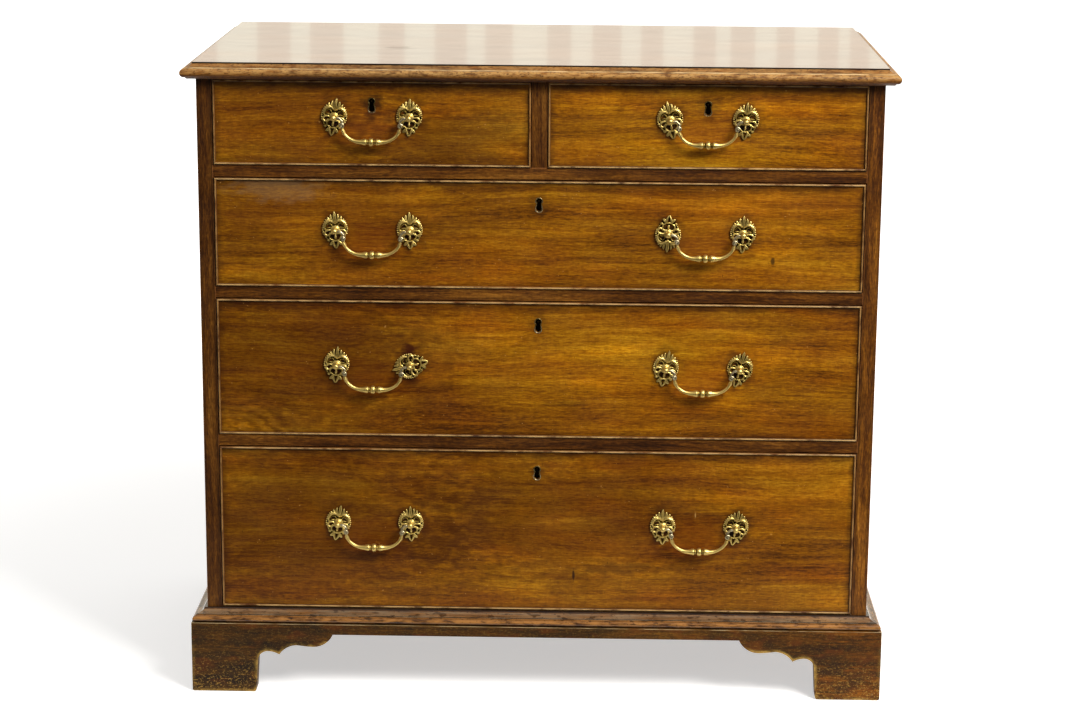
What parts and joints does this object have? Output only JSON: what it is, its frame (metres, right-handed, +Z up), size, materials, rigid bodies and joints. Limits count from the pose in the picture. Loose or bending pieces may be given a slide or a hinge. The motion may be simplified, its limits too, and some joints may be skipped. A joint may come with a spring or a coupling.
{
  "type": "chest of drawers",
  "caption": "Low chest with two short drawers over graduated long drawers, moulded top, shaped bracket feet, pierced brass roses and swan-neck bails.",
  "frame": {"origin": "on the floor, under the middle of the outermost width and depth", "axes": "+Z up, drawers open towards -Y, +X to the right of someone facing the front"},
  "size_m": [0.968, 0.5164, 0.889],
  "materials": {
    "mahogany_front": "waxed, satin",
    "mahogany_case": "waxed, satin",
    "oak_lining": "bare planed",
    "cast_brass": "aged cast",
    "lock_brass": "filed",
    "lock_iron": "filed"
  },
  "bodies": {
    "case": {"top_board": "mahogany_case", "left_side_panel": "mahogany_case", "right_side_panel": "mahogany_case", "case_bottom": "oak_lining", "back_boards": "oak_lining", "drawer_rails": "mahogany_case", "muntin": "mahogany_case", "drawer_runners": "oak_lining", "dust_boards": "oak_lining", "drawer_stops": "oak_lining", "front_base_moulding": "mahogany_case", "side_base_mouldings": "mahogany_case", "base_frame": "mahogany_case", "front_left_foot": "mahogany_case", "front_right_foot": "mahogany_case", "rear_left_foot": "mahogany_case", "rear_right_foot": "mahogany_case"},
    "short_left_drawer": {"short_left_drawer_front": "mahogany_front", "short_left_drawer_cock_beads": "mahogany_front", "short_left_drawer_box": "oak_lining", "short_left_drawer_bottom": "oak_lining", "short_left_drawer_lock": "lock_brass", "short_left_drawer_handle_posts": "cast_brass"},
    "short_left_drawer_bolt": {"short_left_drawer_lock_bolt": "lock_iron"},
    "short_left_drawer_bail": {"short_left_drawer_bail": "cast_brass"},
    "short_right_drawer": {"short_right_drawer_front": "mahogany_front", "short_right_drawer_cock_beads": "mahogany_front", "short_right_drawer_box": "oak_lining", "short_right_drawer_bottom": "oak_lining", "short_right_drawer_lock": "lock_brass", "short_right_drawer_handle_posts": "cast_brass"},
    "short_right_drawer_bolt": {"short_right_drawer_lock_bolt": "lock_iron"},
    "short_right_drawer_bail": {"short_right_drawer_bail": "cast_brass"},
    "second_drawer": {"second_drawer_front": "mahogany_front", "second_drawer_cock_beads": "mahogany_front", "second_drawer_box": "oak_lining", "second_drawer_bottom": "oak_lining", "second_drawer_lock": "lock_brass", "second_drawer_handle_posts": "cast_brass"},
    "second_drawer_bolt": {"second_drawer_lock_bolt": "lock_iron"},
    "second_drawer_left_bail": {"second_drawer_left_bail": "cast_brass"},
    "second_drawer_right_bail": {"second_drawer_right_bail": "cast_brass"},
    "third_drawer": {"third_drawer_front": "mahogany_front", "third_drawer_cock_beads": "mahogany_front", "third_drawer_box": "oak_lining", "third_drawer_bottom": "oak_lining", "third_drawer_lock": "lock_brass", "third_drawer_handle_posts": "cast_brass"},
    "third_drawer_bolt": {"third_drawer_lock_bolt": "lock_iron"},
    "third_drawer_left_bail": {"third_drawer_left_bail": "cast_brass"},
    "third_drawer_right_bail": {"third_drawer_right_bail": "cast_brass"},
    "fourth_drawer": {"fourth_drawer_front": "mahogany_front", "fourth_drawer_cock_beads": "mahogany_front", "fourth_drawer_box": "oak_lining", "fourth_drawer_bottom": "oak_lining", "fourth_drawer_lock": "lock_brass", "fourth_drawer_handle_posts": "cast_brass"},
    "fourth_drawer_bolt": {"fourth_drawer_lock_bolt": "lock_iron"},
    "fourth_drawer_left_bail": {"fourth_drawer_left_bail": "cast_brass"},
    "fourth_drawer_right_bail": {"fourth_drawer_right_bail": "cast_brass"}
  },
  "joints": [
    {"name": "short_left_drawer_slide", "type": "slide", "parent": "case", "child": "short_left_drawer", "axis": [0, -1, 0], "range_m": [0, 0.38]},
    {"name": "short_left_drawer_bolt_throw", "type": "slide", "parent": "short_left_drawer", "child": "short_left_drawer_bolt", "axis": [0, 0, 1], "range_m": [0, 0.007]},
    {"name": "short_left_drawer_bail_swing", "type": "hinge", "parent": "short_left_drawer", "child": "short_left_drawer_bail", "pos_m": [-0.2265, -0.25025, 0.816], "axis": [-1, 0, 0], "range_deg": [-12, 192]},
    {"name": "short_right_drawer_slide", "type": "slide", "parent": "case", "child": "short_right_drawer", "axis": [0, -1, 0], "range_m": [0, 0.38]},
    {"name": "short_right_drawer_bolt_throw", "type": "slide", "parent": "short_right_drawer", "child": "short_right_drawer_bolt", "axis": [0, 0, 1], "range_m": [0, 0.007]},
    {"name": "short_right_drawer_bail_swing", "type": "hinge", "parent": "short_right_drawer", "child": "short_right_drawer_bail", "pos_m": [0.2265, -0.25025, 0.816], "axis": [-1, 0, 0], "range_deg": [-12, 192]},
    {"name": "second_drawer_slide", "type": "slide", "parent": "case", "child": "second_drawer", "axis": [0, -1, 0], "range_m": [0, 0.38]},
    {"name": "second_drawer_bolt_throw", "type": "slide", "parent": "second_drawer", "child": "second_drawer_bolt", "axis": [0, 0, 1], "range_m": [0, 0.007]},
    {"name": "second_drawer_left_bail_swing", "type": "hinge", "parent": "second_drawer", "child": "second_drawer_left_bail", "pos_m": [-0.2265, -0.25025, 0.661], "axis": [-1, 0, 0], "range_deg": [-12, 192]},
    {"name": "second_drawer_right_bail_swing", "type": "hinge", "parent": "second_drawer", "child": "second_drawer_right_bail", "pos_m": [0.2265, -0.25025, 0.661], "axis": [-1, 0, 0], "range_deg": [-12, 192]},
    {"name": "third_drawer_slide", "type": "slide", "parent": "case", "child": "third_drawer", "axis": [0, -1, 0], "range_m": [0, 0.38]},
    {"name": "third_drawer_bolt_throw", "type": "slide", "parent": "third_drawer", "child": "third_drawer_bolt", "axis": [0, 0, 1], "range_m": [0, 0.007]},
    {"name": "third_drawer_left_bail_swing", "type": "hinge", "parent": "third_drawer", "child": "third_drawer_left_bail", "pos_m": [-0.2265, -0.25025, 0.472], "axis": [-1, 0, 0], "range_deg": [-12, 192]},
    {"name": "third_drawer_right_bail_swing", "type": "hinge", "parent": "third_drawer", "child": "third_drawer_right_bail", "pos_m": [0.2265, -0.25025, 0.472], "axis": [-1, 0, 0], "range_deg": [-12, 192]},
    {"name": "fourth_drawer_slide", "type": "slide", "parent": "case", "child": "fourth_drawer", "axis": [0, -1, 0], "range_m": [0, 0.38]},
    {"name": "fourth_drawer_bolt_throw", "type": "slide", "parent": "fourth_drawer", "child": "fourth_drawer_bolt", "axis": [0, 0, 1], "range_m": [0, 0.007]},
    {"name": "fourth_drawer_left_bail_swing", "type": "hinge", "parent": "fourth_drawer", "child": "fourth_drawer_left_bail", "pos_m": [-0.2265, -0.25025, 0.2445], "axis": [-1, 0, 0], "range_deg": [-12, 192]},
    {"name": "fourth_drawer_right_bail_swing", "type": "hinge", "parent": "fourth_drawer", "child": "fourth_drawer_right_bail", "pos_m": [0.2265, -0.25025, 0.2445], "axis": [-1, 0, 0], "range_deg": [-12, 192]}
  ]
}
